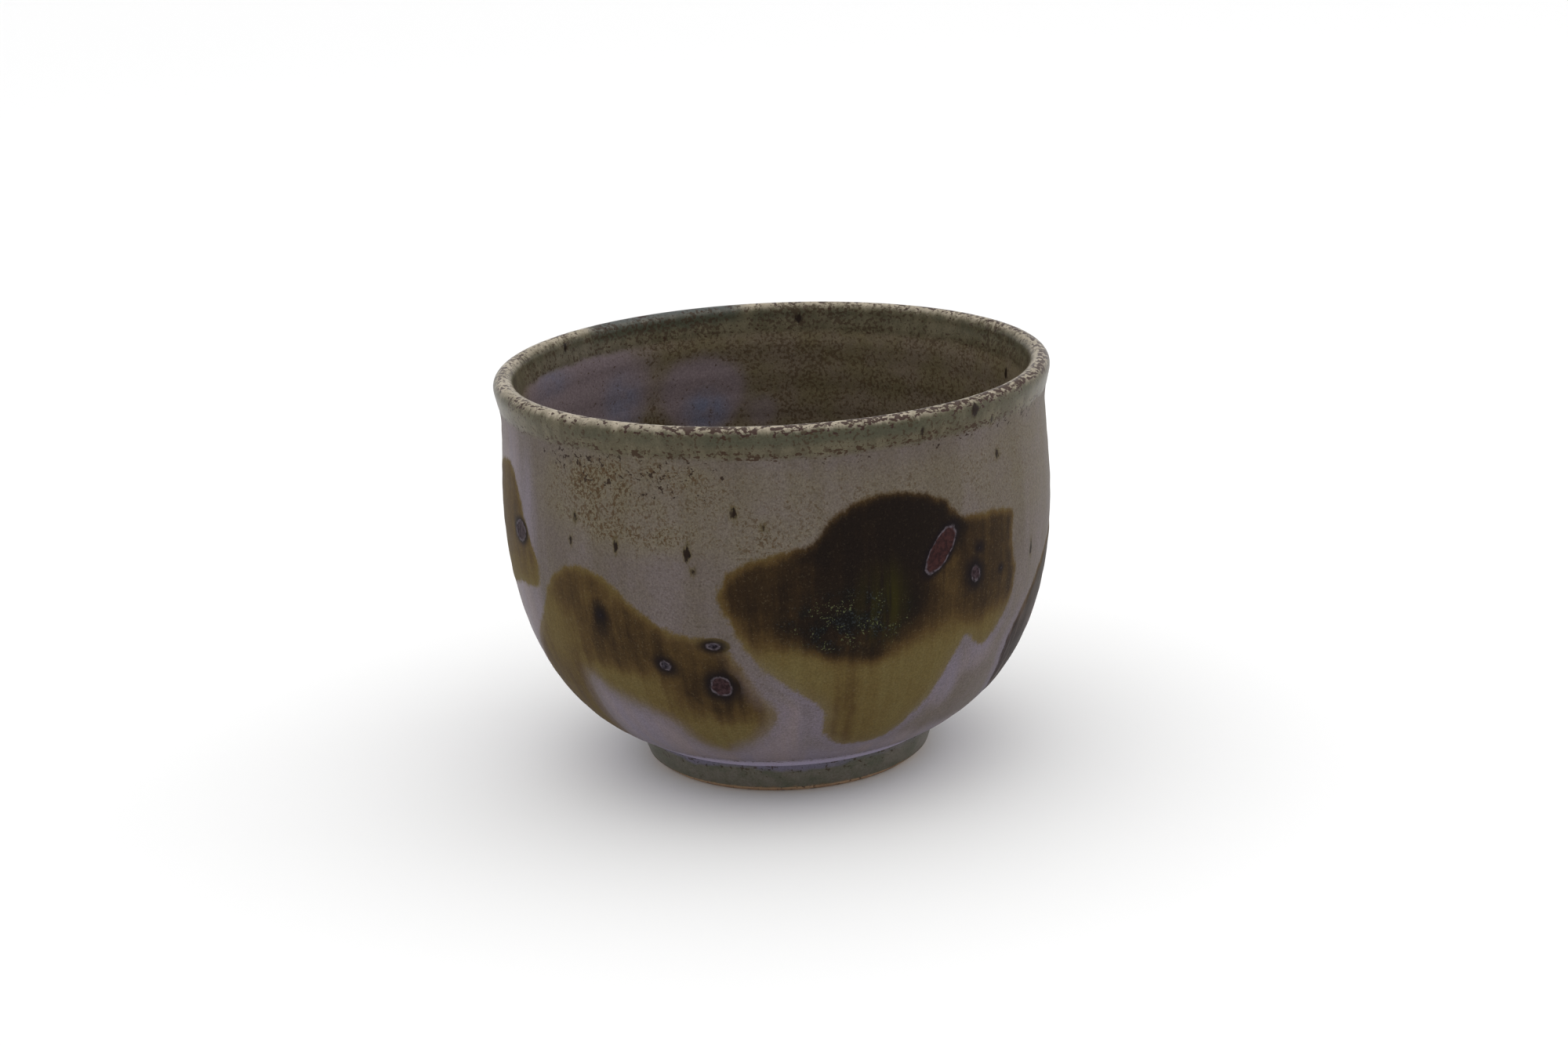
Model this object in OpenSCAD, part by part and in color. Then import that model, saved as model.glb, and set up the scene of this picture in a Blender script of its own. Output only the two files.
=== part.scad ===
// Matcha bowl: a thrown stoneware tea bowl on a luted foot ring, with its coats of glaze
// and the films of iron glaze dabbed over them. Millimetres, +Z up, origin on the table
// under the centre of the foot. The front of the bowl faces -Y.

/* [Bowl] */
// Height from the table to the crest of the lip
bowl_h = 87; // [72:0.5:105]
// Diameter over the lip
rim_d = 118.4; // [98:0.2:142.2]
// Thickness of the lip, glaze included
lip_t = 4.2; // [3.4:0.1:5.4]
// Height of the rounded part of the lip
lip_round = 2.2; // [1.6:0.1:3]
// Diameter at the narrow neck under the lip
neck_d = 116.2; // [96:0.2:139.6]
// Depth of the neck below the crest of the lip
neck_drop = 10; // [8:0.5:13]
// Diameter at the widest part of the belly
belly_d = 117.8; // [98:0.2:141.4]
// Depth of the widest part of the belly below the crest of the lip
belly_drop = 27.5; // [22:0.5:36]
// Wall thickness at the belly, glaze included
wall_t = 4.6; // [3.8:0.1:6]
// Thickness of the floor over the foot, glaze included
floor_t = 6; // [4.5:0.1:8]
// Width of the flat floor inside
floor_d = 22; // [10:1:34]
// Slope of the belly where it leaves the foot, in degrees
belly_slope = 35; // [25:1:45]

/* [Foot] */
// Height of the foot
foot_h = 7; // [5.5:0.1:9]
// Diameter of the foot where it meets the table
foot_d = 61; // [50:0.5:74]
// Flare of the foot from the table up to the belly, on each side
foot_flare = 2.5; // [0:0.1:4]
// Width of the foot ring on the table
foot_w = 6; // [4.5:0.1:8]
// Lean of the well's wall from the table up to its ceiling
well_draft = 1.2; // [0:0.1:2]
// Bevel on the two edges of the foot
foot_bevel = 0.7; // [0.4:0.1:1]

/* [Glaze] */
// Thickness of each coat of glaze
glaze_t = 0.5; // [0.3:0.05:0.8]
// Depth of the dipped band over the lip, outside and inside
dip_depth = 6; // [4:0.1:8]
// Bare clay left above the table, outside the foot and in its well
bare_h = 1.3; // [1:0.1:2]

/* [Iron splashes] */
// Thickness of a splash of iron glaze over the base glaze
splash_t = 0.2; // [0.1:0.05:0.3]

/* [Hidden] */
$fn = 96;

rim_r = rim_d / 2;
neck_r = neck_d / 2;
belly_r = belly_d / 2;
foot_r = foot_d / 2;
foot_top_r = foot_r + foot_flare;
well_r = foot_r - foot_w;
well_top_r = well_r - well_draft;
floor_r = floor_d / 2;
lip_z = bowl_h - lip_round;
neck_z = bowl_h - neck_drop;
belly_z = bowl_h - belly_drop;
dip_z = bowl_h - dip_depth;
floor_z = foot_h + floor_t;

// Handles of the curves, as shares of the stretch that each one bends
foot_pull = 0.105;
belly_pull = 0.81;
shoulder_pull = 0.17;
neck_pull = 0.08;
flare_pull = 0.5;
lip_pull = 0.15;
inner_belly_pull = 0.62;
inner_floor_pull = 0.55;

// Steps along the belly, the shoulder, the flare under the lip and the lip's half round,
// and between two points of a splash's outline
belly_steps = 28;
shoulder_steps = 8;
flare_steps = 6;
lip_steps = 12;
outline_steps = 2;

// How far a cutting shape runs past what it cuts
margin = 1;

CLAY = "#8f7a64";
LAVENDER = "#6d6467";
CELADON = "#77735f";
LINER = "#5f564c";
MOSS = "#4c4b43";
IRON = "#3c3020";

// Each outline below is a list of [degrees round from the front, per cent of the way up
// from the foot to the dipped band]. Degrees run to the right, as seen by someone who
// faces the bowl.
RIGHT_OUTLINE = [[-12.5, 62], [-9, 70], [0, 74], [6.5, 76], [10, 82], [17, 87], [26, 87],
                 [34, 83], [39, 77], [47, 76], [54.5, 73], [54, 65], [56, 54], [54, 45],
                 [47, 36], [40.5, 41], [35, 27], [29, 16], [25, 12], [19.5, 11], [13, 12],
                 [8.5, 18], [8, 26], [3, 32], [-5, 41], [-10, 53]];
LEFT_OUTLINE = [[-48, 65], [-42, 66], [-37, 64], [-30, 57], [-23, 51], [-14, 49], [-9.5, 42],
                [-5.5, 32], [-2, 26], [-5, 18], [-11, 13], [-17, 10], [-24, 14], [-27, 20],
                [-33, 24], [-42, 28], [-47, 32], [-49, 23], [-50, 11], [-54, 7], [-64, 12],
                [-72, 24], [-69, 35], [-60, 47], [-54, 59]];
FAR_LEFT_OUTLINE = [[-58, 62], [-62, 72], [-66, 82], [-71, 88], [-80, 86], [-90, 81], [-98, 73],
                    [-103, 62], [-99, 53], [-90, 47], [-80, 49], [-70, 53], [-60, 55]];
FAR_RIGHT_OUTLINE = [[58, 30], [60, 38], [66, 46], [72, 53], [80, 58], [90, 58], [99, 51],
                     [104, 41], [102, 28], [94, 19], [84, 14], [73, 11], [63, 15]];
BACK_LEFT_OUTLINE = [[-127, 65], [-133, 76], [-143, 82], [-154, 81], [-160, 72], [-167, 64],
                     [-168, 51], [-162, 41], [-153, 28], [-146, 14], [-138, 12], [-132, 26],
                     [-126, 39], [-122, 53]];
BACK_RIGHT_OUTLINE = [[122, 74], [130, 82], [141, 85], [150, 77], [160, 72], [166, 59], [163, 46],
                      [155, 36], [150, 22], [143, 16], [136, 27], [127, 34], [119, 45], [117, 61]];

// Points of a cubic curve from a to d, with handles at b and c
function curve(a, b, c, d, steps) =
    [for (i = [0:steps]) let (t = i / steps, u = 1 - t)
        u^3 * a + 3 * u^2 * t * b + 3 * u * t^2 * c + t^3 * d];

function without_first(line) = [for (i = [1:len(line) - 1]) line[i]];
function reversed(line) = [for (i = [len(line) - 1:-1:0]) line[i]];

// Radius of a line at a height
function radius_at(line, z) = lookup(z, [for (p = line) [p.y, p.x]]);

// The part of a rising or falling line below or above a height, cut square there
function rising_below(line, z) = concat([for (p = line) if (p.y < z) p], [[radius_at(line, z), z]]);
function rising_above(line, z) = concat([[radius_at(line, z), z]], [for (p = line) if (p.y > z) p]);
function falling_below(line, z) = reversed(rising_below(reversed(line), z));
function falling_above(line, z) = reversed(rising_above(reversed(line), z));

// The wall from its widest place, in to the neck and out again to the lip
function shoulder_and_flare(widest, neck, lip) =
    let (shoulder_rise = neck.y - widest.y,
         flare_rise = lip.y - neck.y)
    concat(
        curve(widest, widest + [0, shoulder_rise * shoulder_pull],
              neck - [0, shoulder_rise * neck_pull], neck, shoulder_steps),
        without_first(curve(neck, neck + [0, flare_rise * flare_pull],
                            lip - [0, flare_rise * lip_pull], lip, flare_steps)));

// The outside of the wall at a depth under the glazed surface, from the foot to the lip
function outside_line(depth = 0) =
    let (start = [foot_top_r - depth, foot_h],
         widest = [belly_r - depth, belly_z],
         rise = belly_z - foot_h,
         leaving = rise * foot_pull * [cos(belly_slope), sin(belly_slope)])
    concat(
        curve(start, start + leaving, widest - [0, rise * belly_pull], widest, belly_steps),
        without_first(shoulder_and_flare(widest, [neck_r - depth, neck_z], [rim_r - depth, lip_z])));

// The half round over the lip at a depth under the glazed surface, from outside to inside
function lip_line(depth = 0) =
    [for (i = [0:lip_steps]) let (a = 180 * i / lip_steps)
        [rim_r - lip_t / 2 + (lip_t / 2 - depth) * cos(a), lip_z + (lip_round - depth) * sin(a)]];

// The inside of the wall at a depth under the glazed surface, from the lip to the centre
function inside_line(depth = 0) =
    let (lip = [rim_r - lip_t + depth, lip_z],
         neck = [neck_r - lip_t + depth, neck_z],
         widest = [belly_r - wall_t + depth, belly_z],
         floor_edge = [floor_r, floor_z - depth],
         rise = belly_z - floor_z,
         reach = belly_r - wall_t - floor_r)
    concat(
        reversed(shoulder_and_flare(widest, neck, lip)),
        without_first(curve(widest, widest - [0, rise * inner_belly_pull],
                            floor_edge + [reach * inner_floor_pull, 0], floor_edge, belly_steps)),
        [[0, floor_z - depth]]);

function foot_outside_line(depth = 0) = [[foot_r - depth, 0], [foot_top_r - depth, foot_h]];
function well_line(depth = 0) = [[well_r + depth, 0], [well_top_r + depth, foot_h]];

// The line of the dipped band over the lip, at a depth under its face
function dip_line(depth = 0) =
    concat(rising_above(outside_line(depth), dip_z),
           without_first(lip_line(depth)),
           without_first(falling_above(inside_line(depth), dip_z)));

// A closed smooth outline through a list of points
function smooth(points, steps) =
    let (n = len(points))
    [for (i = [0:n - 1]) let (a = points[(i + n - 1) % n], b = points[i],
                              c = points[(i + 1) % n], d = points[(i + 2) % n])
        for (j = [0:steps - 1]) let (t = j / steps)
            0.5 * (2 * b + (c - a) * t + (2 * a - 5 * b + 4 * c - d) * t^2
                   + (3 * b - a - 3 * c + d) * t^3)];

// A coat of glaze between a line on its face and the line of what it lies on
module coat(face, under) {
    rotate_extrude()
        polygon(concat(face, reversed(under)));
}

// The thrown wall and floor
module clay_bowl() {
    color(CLAY)
        rotate_extrude()
            polygon(concat([[0, foot_h]],
                           outside_line(glaze_t),
                           without_first(lip_line(glaze_t)),
                           without_first(inside_line(glaze_t))));
}

// The ring luted under the floor, bevelled at both edges where it is wiped clean
module foot_ring() {
    outer = foot_outside_line(glaze_t);
    inner = well_line(glaze_t);
    color(CLAY)
        rotate_extrude()
            polygon([[outer[0].x - foot_bevel, 0],
                     [radius_at(outer, foot_bevel), foot_bevel],
                     outer[1],
                     inner[1],
                     [radius_at(inner, foot_bevel), foot_bevel],
                     [inner[0].x + foot_bevel, 0]]);
}

module outside_glaze() {
    color(LAVENDER)
        coat(rising_below(outside_line(), dip_z), rising_below(outside_line(glaze_t), dip_z));
}

module rim_glaze() {
    color(CELADON) coat(dip_line(), dip_line(glaze_t));
}

module inside_glaze() {
    color(LINER)
        coat(falling_below(inside_line(), dip_z), falling_below(inside_line(glaze_t), dip_z));
}

module foot_glaze() {
    color(MOSS)
        coat(rising_above(foot_outside_line(), bare_h),
             rising_above(foot_outside_line(glaze_t), bare_h));
}

// The glaze in the well under the foot: its wall and its ceiling
module foot_well_glaze() {
    wall = well_line();
    ceiling_z = foot_h - glaze_t;
    color(MOSS)
        rotate_extrude()
            polygon(concat([[0, foot_h], [0, ceiling_z], [radius_at(wall, ceiling_z), ceiling_z],
                            [radius_at(wall, bare_h), bare_h]],
                           rising_above(well_line(glaze_t), bare_h)));
}

// A film on the face of the outside glaze, cut to an outline of [degrees, per cent up]
module splash(outline) {
    face = outside_line(-splash_t);
    under = outside_line();
    points = [for (p = smooth(outline, outline_steps)) [p.x, foot_h + (dip_z - foot_h) * p.y / 100]];
    angles = [for (p = points) p.x];
    heights = [for (p = points) p.y];
    middle = (min(angles) + max(angles)) / 2;
    low = max(foot_h, min(heights) - margin);
    high = min(dip_z, max(heights) + margin);
    color(IRON)
        intersection() {
            coat(rising_above(rising_below(face, high), low),
                 rising_above(rising_below(under, high), low));
            rotate([90, 0, middle])
                linear_extrude(height = max(rim_r, belly_r) + margin)
                    polygon([for (p = points) [radius_at(under, p.y) * sin(p.x - middle), p.y]]);
        }
}

module iron_splash_right() { splash(RIGHT_OUTLINE); }
module iron_splash_left() { splash(LEFT_OUTLINE); }
module iron_splash_far_left() { splash(FAR_LEFT_OUTLINE); }
module iron_splash_far_right() { splash(FAR_RIGHT_OUTLINE); }
module iron_splash_back_left() { splash(BACK_LEFT_OUTLINE); }
module iron_splash_back_right() { splash(BACK_RIGHT_OUTLINE); }

clay_bowl();
foot_ring();
outside_glaze();
rim_glaze();
inside_glaze();
foot_glaze();
foot_well_glaze();
iron_splash_right();
iron_splash_left();
iron_splash_far_left();
iron_splash_far_right();
iron_splash_back_left();
iron_splash_back_right();
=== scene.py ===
"""A stoneware matcha bowl: the looks of its clay, its coats of glaze and its iron splashes.

Lengths are in millimetres until a mesh is made. Angles are degrees round the bowl from the
front (-Y), growing towards +X. "Up" is per cent of the way from the foot to the dipped band.
"""
import math

import bpy
import numpy as np
from mathutils import Matrix, Vector


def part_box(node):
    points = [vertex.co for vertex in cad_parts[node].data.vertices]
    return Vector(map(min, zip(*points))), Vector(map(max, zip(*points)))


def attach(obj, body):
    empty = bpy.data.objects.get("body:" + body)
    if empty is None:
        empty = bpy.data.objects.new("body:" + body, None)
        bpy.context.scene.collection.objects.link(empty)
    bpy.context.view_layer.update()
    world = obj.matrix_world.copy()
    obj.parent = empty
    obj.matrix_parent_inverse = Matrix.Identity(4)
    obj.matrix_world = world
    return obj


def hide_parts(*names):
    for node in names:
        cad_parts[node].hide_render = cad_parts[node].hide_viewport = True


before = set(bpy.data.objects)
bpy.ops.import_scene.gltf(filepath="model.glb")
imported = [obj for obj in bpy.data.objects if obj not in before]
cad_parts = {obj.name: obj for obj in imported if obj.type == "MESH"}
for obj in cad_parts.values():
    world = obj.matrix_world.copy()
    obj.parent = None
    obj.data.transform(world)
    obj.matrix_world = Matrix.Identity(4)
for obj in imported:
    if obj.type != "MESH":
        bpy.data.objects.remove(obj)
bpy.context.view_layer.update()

MM = 0.001


def top_of(node):
    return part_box(node)[1][2] / MM


def bottom_of(node):
    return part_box(node)[0][2] / MM


def radius_of(node):
    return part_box(node)[1][0] / MM


# --- Sizes, in mm and degrees -------------------------------------------------------------

BOWL_H = top_of("rim_glaze")
RIM_R = radius_of("rim_glaze")
BELLY_R = radius_of("outside_glaze")
FOOT_H = top_of("foot_ring")
FOOT_TOP_R = radius_of("foot_glaze")
DIP_Z = bottom_of("rim_glaze")
BARE_H = bottom_of("foot_glaze")
GLAZE_T = 0.5
FLOOR_Z = bottom_of("inside_glaze") + GLAZE_T
LIP_T = 4.2
LIP_ROUND = 2.2
NECK_R = 58.1
NECK_DROP = 10
BELLY_DROP = 27.5
WALL_T = 4.6
FLOOR_R = 11
# Angle at which the wall leaves the foot, and how far the handles of the wall's curves reach, as
# shares of the rise, the fall or the reach of each curve
BELLY_SLOPE = 35
FOOT_PULL, BELLY_PULL = 0.105, 0.81
SHOULDER_PULL, NECK_PULL = 0.17, 0.08
FLARE_PULL, LIP_PULL = 0.5, 0.15
INNER_BELLY_PULL, INNER_FLOOR_PULL = 0.62, 0.55
FOOT_FLARE = 2.5
FOOT_W = 6
WELL_DRAFT = 1.2
FOOT_BEVEL = 0.7

LIP_Z = BOWL_H - LIP_ROUND
NECK_Z = BOWL_H - NECK_DROP
BELLY_Z = BOWL_H - BELLY_DROP
FOOT_R = FOOT_TOP_R - FOOT_FLARE
WELL_R = FOOT_R - FOOT_W

# Steps round the bowl, and steps along it on the face of each coat and at its back
COLUMNS = 640
WALL_STEP = 0.85
LIP_STEP = 0.45
LINER_STEP = 0.95
BACK_STEP = 2.5
LIP_BACK_STEP = 1.2
# A coat's shell. It is a little thinner than the glaze, so that its back clears the clay's mesh.
COAT_T = 0.42


# --- Lines of the surface, as arrays of [radius, height] --------------------------------

def curve(a, b, c, d, steps):
    """Cubic curve from a to d with handles b and c: each point is a Bernstein mix of the four."""
    t = np.linspace(0, 1, steps + 1)[:, None]
    u = 1 - t
    a, b, c, d = (np.asarray(p, float) for p in (a, b, c, d))
    return u**3 * a + 3 * u**2 * t * b + 3 * u * t**2 * c + t**3 * d


def shoulder_and_flare(widest, neck, lip):
    """From the widest place in to the neck and out to the lip, upright at both ends."""
    shoulder = neck[1] - widest[1]
    flare = lip[1] - neck[1]
    return np.vstack([
        curve(widest, (widest[0], widest[1] + SHOULDER_PULL * shoulder),
              (neck[0], neck[1] - NECK_PULL * shoulder), neck, 40),
        curve(neck, (neck[0], neck[1] + FLARE_PULL * flare),
              (lip[0], lip[1] - LIP_PULL * flare), lip, 30)[1:]])


def glaze_line():
    """The whole glazed line: up the outside, over the half-round lip, and down to the centre."""
    start = np.array([FOOT_TOP_R, FOOT_H])
    widest = np.array([BELLY_R, BELLY_Z])
    rise = BELLY_Z - FOOT_H
    slope = math.radians(BELLY_SLOPE)
    leaving = FOOT_PULL * rise * np.array([math.cos(slope), math.sin(slope)])
    belly = curve(start, start + leaving, widest - [0, BELLY_PULL * rise], widest, 120)
    outside = shoulder_and_flare(widest, (NECK_R, NECK_Z), (RIM_R, LIP_Z))
    turn = np.linspace(0, math.pi, 61)[:, None]
    lip_middle = RIM_R - LIP_T / 2
    lip = np.hstack([lip_middle + LIP_T / 2 * np.cos(turn), LIP_Z + LIP_ROUND * np.sin(turn)])
    inner_widest = np.array([BELLY_R - WALL_T, BELLY_Z])
    inside = shoulder_and_flare(inner_widest, (NECK_R - LIP_T, NECK_Z), (RIM_R - LIP_T, LIP_Z))[::-1]
    floor_edge = np.array([FLOOR_R, FLOOR_Z])
    fall = BELLY_Z - FLOOR_Z
    reach = inner_widest[0] - FLOOR_R
    floor = curve(inner_widest, inner_widest - [0, INNER_BELLY_PULL * fall],
                  floor_edge + [INNER_FLOOR_PULL * reach, 0], floor_edge, 120)
    centre = curve(floor_edge, floor_edge - [3, 0], (4, FLOOR_Z), (0, FLOOR_Z), 20)
    return np.vstack([belly, outside[1:], lip[1:], inside[1:], floor[1:], centre[1:]])


def lengths(line):
    """Distance along a line to each of its points."""
    return np.concatenate([[0], np.cumsum(np.hypot(*np.diff(line, axis=0).T))])


LINE = glaze_line()
ALONG = lengths(LINE)
CREST_AT = ALONG[np.argmax(LINE[:, 1])]
OUTSIDE = ALONG <= CREST_AT


def along_outside(height):
    return np.interp(height, LINE[OUTSIDE, 1], ALONG[OUTSIDE])


def along_inside(height):
    return np.interp(height, LINE[~OUTSIDE, 1][::-1], ALONG[~OUTSIDE][::-1])


DIP_AT = along_outside(DIP_Z)
INNER_DIP_AT = along_inside(DIP_Z)
END_AT = ALONG[-1]
BAND_WIDTH = CREST_AT - DIP_AT
# The band's colour ends here on a line that noise moves out by WANDER_MEAN on the average
WANDER_MEAN = 1.2
BAND_END = BAND_WIDTH + WANDER_MEAN


def height_up(up):
    """Height of a place that is so many per cent of the way up the wall."""
    return FOOT_H + (DIP_Z - FOOT_H) * np.asarray(up, float) / 100


def smoothstep(low, high, x):
    t = np.clip((x - low) / (high - low), 0, 1)
    return t * t * (3 - 2 * t)


def turned(angle):
    """An angle brought to the range from -180 to 180."""
    return (np.asarray(angle) + 180) % 360 - 180


# --- Places of the splashes, eyes, drips and clouds -------------------------------------

OUTLINES = {
    "iron_splash_right": [
        (-12.5, 62), (-9, 70), (0, 74), (6.5, 76), (10, 82), (17, 87), (26, 87), (34, 83), (39, 77),
        (47, 76), (54.5, 73), (54, 65), (56, 54), (54, 45), (47, 36), (40.5, 41), (35, 27), (29, 16),
        (25, 12), (19.5, 11), (13, 12), (8.5, 18), (8, 26), (3, 32), (-5, 41), (-10, 53)],
    "iron_splash_left": [
        (-48, 65), (-42, 66), (-37, 64), (-30, 57), (-23, 51), (-14, 49), (-9.5, 42), (-5.5, 32),
        (-2, 26), (-5, 18), (-11, 13), (-17, 10), (-24, 14), (-27, 20), (-33, 24), (-42, 28),
        (-47, 32), (-49, 23), (-50, 11), (-54, 7), (-64, 12), (-72, 24), (-69, 35), (-60, 47), (-54, 59)],
    "iron_splash_far_left": [
        (-58, 62), (-62, 72), (-66, 82), (-71, 88), (-80, 86), (-90, 81), (-98, 73), (-103, 62),
        (-99, 53), (-90, 47), (-80, 49), (-70, 53), (-60, 55)],
    "iron_splash_far_right": [
        (58, 30), (60, 38), (66, 46), (72, 53), (80, 58), (90, 58), (99, 51), (104, 41), (102, 28),
        (94, 19), (84, 14), (73, 11), (63, 15)],
    "iron_splash_back_left": [
        (-127, 65), (-133, 76), (-143, 82), (-154, 81), (-160, 72), (-167, 64), (-168, 51),
        (-162, 41), (-153, 28), (-146, 14), (-138, 12), (-132, 26), (-126, 39), (-122, 53)],
    "iron_splash_back_right": [
        (122, 74), (130, 82), (141, 85), (150, 77), (160, 72), (166, 59), (163, 46), (155, 36),
        (150, 22), (143, 16), (136, 27), (127, 34), (119, 45), (117, 61)],
}

# How thick the iron of a splash is before the dabs: the level low down, the level high up, and
# the two heights between which it changes
DEPTH_GROUND = {
    "iron_splash_right": (0.16, 0.56, 40, 52),
    "iron_splash_left": (0.30, 0.46, 22, 42),
    "iron_splash_far_left": (0.16, 0.42, 50, 68),
    "iron_splash_far_right": (0.50, 0.66, 16, 30),
    "iron_splash_back_left": (0.16, 0.62, 28, 46),
    "iron_splash_back_right": (0.16, 0.62, 34, 52),
}
# Between the splashes, where only the halos of a few eyes read it
DEPTH_ELSEWHERE = 0.4

# Dabs are (angle, up, half width as an angle, half height in per cent, level, softness)
DEPTH_DABS = [
    (22, 76, 19, 13, 1.00, 0.20), (15, 58, 15, 14, 0.96, 0.3), (19, 46, 13, 6, 0.74, 0.5),
    (-1, 62, 10, 9, 0.72, 0.6), (46, 62, 9, 14, 0.62, 0.5), (30, 33, 9, 12, 0.10, 0.7),
    (2, 37, 7, 7, 0.06, 0.7), (13, 26, 3, 14, 0.34, 0.7), (10, 14, 5, 4, 0.30, 0.8),
    (-39, 30, 11, 8, 0.12, 0.6), (-17, 17, 11, 8, 0.14, 0.5), (-14, 33, 8, 10, 0.58, 0.5),
    (-34, 46, 14, 8, 0.55, 0.6), (-60, 30, 9, 14, 0.36, 0.6), (-55, 45, 9, 9, 0.20, 0.7),
    (-52, 12, 6, 6, 0.28, 0.8), (-39, 52, 1.8, 4.5, 0.85, 0.7),
    (-146, 66, 11, 12, 0.95, 0.4), (-142, 30, 8, 14, 0.12, 0.6),
    (142, 68, 13, 13, 0.95, 0.4), (143, 30, 8, 12, 0.14, 0.6),
]
# Where the iron is thickest: the patch of crystals, and the green streaks in it
CRYSTAL_DABS = [(13, 53, 12, 8.5, 1.0, 0.5), (-147, 62, 8, 8, 0.8, 0.6), (141, 60, 9, 8, 0.8, 0.6)]
GREEN_DABS = [(20, 57, 4.5, 9, 1.0, 0.8), (-146, 58, 5, 8, 0.7, 0.8), (143, 58, 5, 8, 0.7, 0.8)]
# Tan speckle under the rim, dark specks, and smooth lilac where the glaze ran thick
CLOUD_DABS = [
    (-30, 87, 23, 13, 1.0, 0.45), (-8, 86, 26, 10, 0.80, 0.6), (-3, 77, 8, 7, 0.75, 0.8),
    (25, 87, 45, 8, 0.55, 0.6), (62, 84, 22, 16, 0.55, 0.6), (128, 92, 40, 10, 0.8, 0.5),
    (-130, 90, 45, 11, 0.7, 0.5), (178, 88, 20, 10, 0.5, 0.5),
]
DARK_DABS = [
    (-36, 97, 15, 8, 0.52, 0.7), (-22, 94, 12, 6, 0.40, 0.7), (50, 99, 40, 2.5, 0.4, 0.6),
    (130, 96, 25, 5, 0.6, 0.6), (-120, 95, 20, 5, 0.5, 0.6),
]
LILAC_DABS = [
    (-30, 14, 34, 12, 1.0, 0.5), (-60, 24, 25, 22, 0.9, 0.6), (-4, 22, 12, 8, 0.7, 0.6),
    (38, 27, 4, 9, 0.7, 0.6), (46, 33, 6, 5, 0.6, 0.6), (-72, 70, 14, 30, 0.7, 0.6),
    (0, 4, 180, 7, 0.8, 0.6), (-100, 30, 25, 20, 0.8, 0.6), (110, 12, 40, 10, 0.5, 0.6),
    (-165, 22, 22, 14, 0.9, 0.6), (165, 22, 16, 12, 0.7, 0.6),
]
# Eyes are (angle, up, half width, half height, lean in degrees, width of the dark halo, redness of
# the heart). The tiny ones are dark spots that have no eye open in them.
EYES = [
    (33, 69, 2.4, 5.4, 38, 1.8, 1.0), (42, 59.5, 1.3, 1.8, -15, 3.4, 0.5),
    (43, 66.5, 0.05, 0.05, 0, 2.8, 0.0), (-13.5, 35, 2.2, 2.4, -20, 3.4, 0.7),
    (-25, 40.5, 1.3, 1.0, 30, 3.0, 0.0), (-14, 47.5, 1.5, 0.8, 0, 2.4, 0.0),
    (-65, 70, 2.7, 2.2, 0, 1.8, 0.4), (-39, 53, 0.05, 0.05, 0, 2.0, 0.0),
    (50, 58, 0.05, 0.05, 0, 1.7, 0.0), (-143, 60, 1.8, 2.6, 20, 2.2, 0.8),
    (135, 66, 2.0, 2.4, -25, 2.2, 0.8), (152, 58, 1.2, 1.6, 0, 2.0, 0.2),
]
# Drips of iron are (angle, up, half width, half height)
DRIPS = [
    (-18, 74, 0.58, 1.36), (-33.5, 74, 0.36, 1.1), (-8.5, 85, 0.5, 0.94), (-44, 80, 0.36, 0.77),
    (-45.5, 73, 0.36, 0.68), (63, 59, 0.43, 1.36), (50, 90.5, 0.5, 0.77), (29.5, 103, 0.36, 0.59),
    (42.5, 105.5, 0.9, 1.4), (48, 101, 0.43, 0.85), (-3, 81, 0.29, 0.42), (-17, 69, 0.29, 0.51),
    (95, 88, 0.5, 1.02), (110, 76, 0.43, 1.19), (-112, 82, 0.58, 1.27), (-118, 60, 0.43, 1.02),
    (178, 80, 0.5, 1.1), (-176, 62, 0.36, 0.85),
]
# Spots of iron inside are the same, with their height in mm
LINER_SPOTS = [
    (173, 83.5, 0.8, 0.9), (107.5, 77.5, 0.7, 1.2), (-123, 84.5, 0.5, 0.8), (20, 60, 0.7, 1.1)]
# Stretches of the rim, as the middle and half of their angle: where the dip pooled on the crest,
# where it pooled less at the front, under the crest only, and where brown specks are densest
POOLED_CREST = (-153, 17)
POOLED_FRONT = (8, 20)
FRONT_POOL = 0.8
CREST_HALF = 1.5
SPECKED_CREST = (62, 72)
# Stretches of the wall: the splash on the right that dried matte, and the one whose lower edge is
# the softest veil, with how soft the others are
DRY_SPLASH = (82, 26)
VEILED_SPLASH = (-40, 32)
VEIL_ELSEWHERE = 0.3
# The wall is low under the first of these heights up, and high over the second. The crease over the
# foot, a pale lilac lightened with painted light against its shade, fades out between the other two.
LOW_WALL = (28, 54)
CREASE = (1.5, 5.5)
# The dark line over the foot: its height and half width in mm, and its strength
SEAM_Z = 10
SEAM_HALF = 0.7
SEAM_STRENGTH = 0.8
# Clouds of lilac and blue inside. Here "up" runs from the floor to the dipped band.
LINER_LILAC_DABS = [
    (-122, 90, 26, 16, 1.0, 0.45), (-138, 82, 9, 12, 0.9, 0.6), (-162, 80, 11, 13, 1.0, 0.4),
    (-177, 72, 4, 6, 0.6, 0.6), (60, 60, 30, 22, 0.8, 0.5), (-20, 72, 24, 18, 0.7, 0.5),
    (150, 40, 30, 16, 0.5, 0.6),
]
LINER_BLUE_DABS = [(-140, 82, 5, 8, 0.7, 0.7), (-163, 74, 5, 6, 1.0, 0.7), (-115, 96, 7, 4, 0.6, 0.7)]


OUTLINE_STEPS = 4
# No distance to a splash or an eye counts past this many mm
FAR = 9.0


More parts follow.
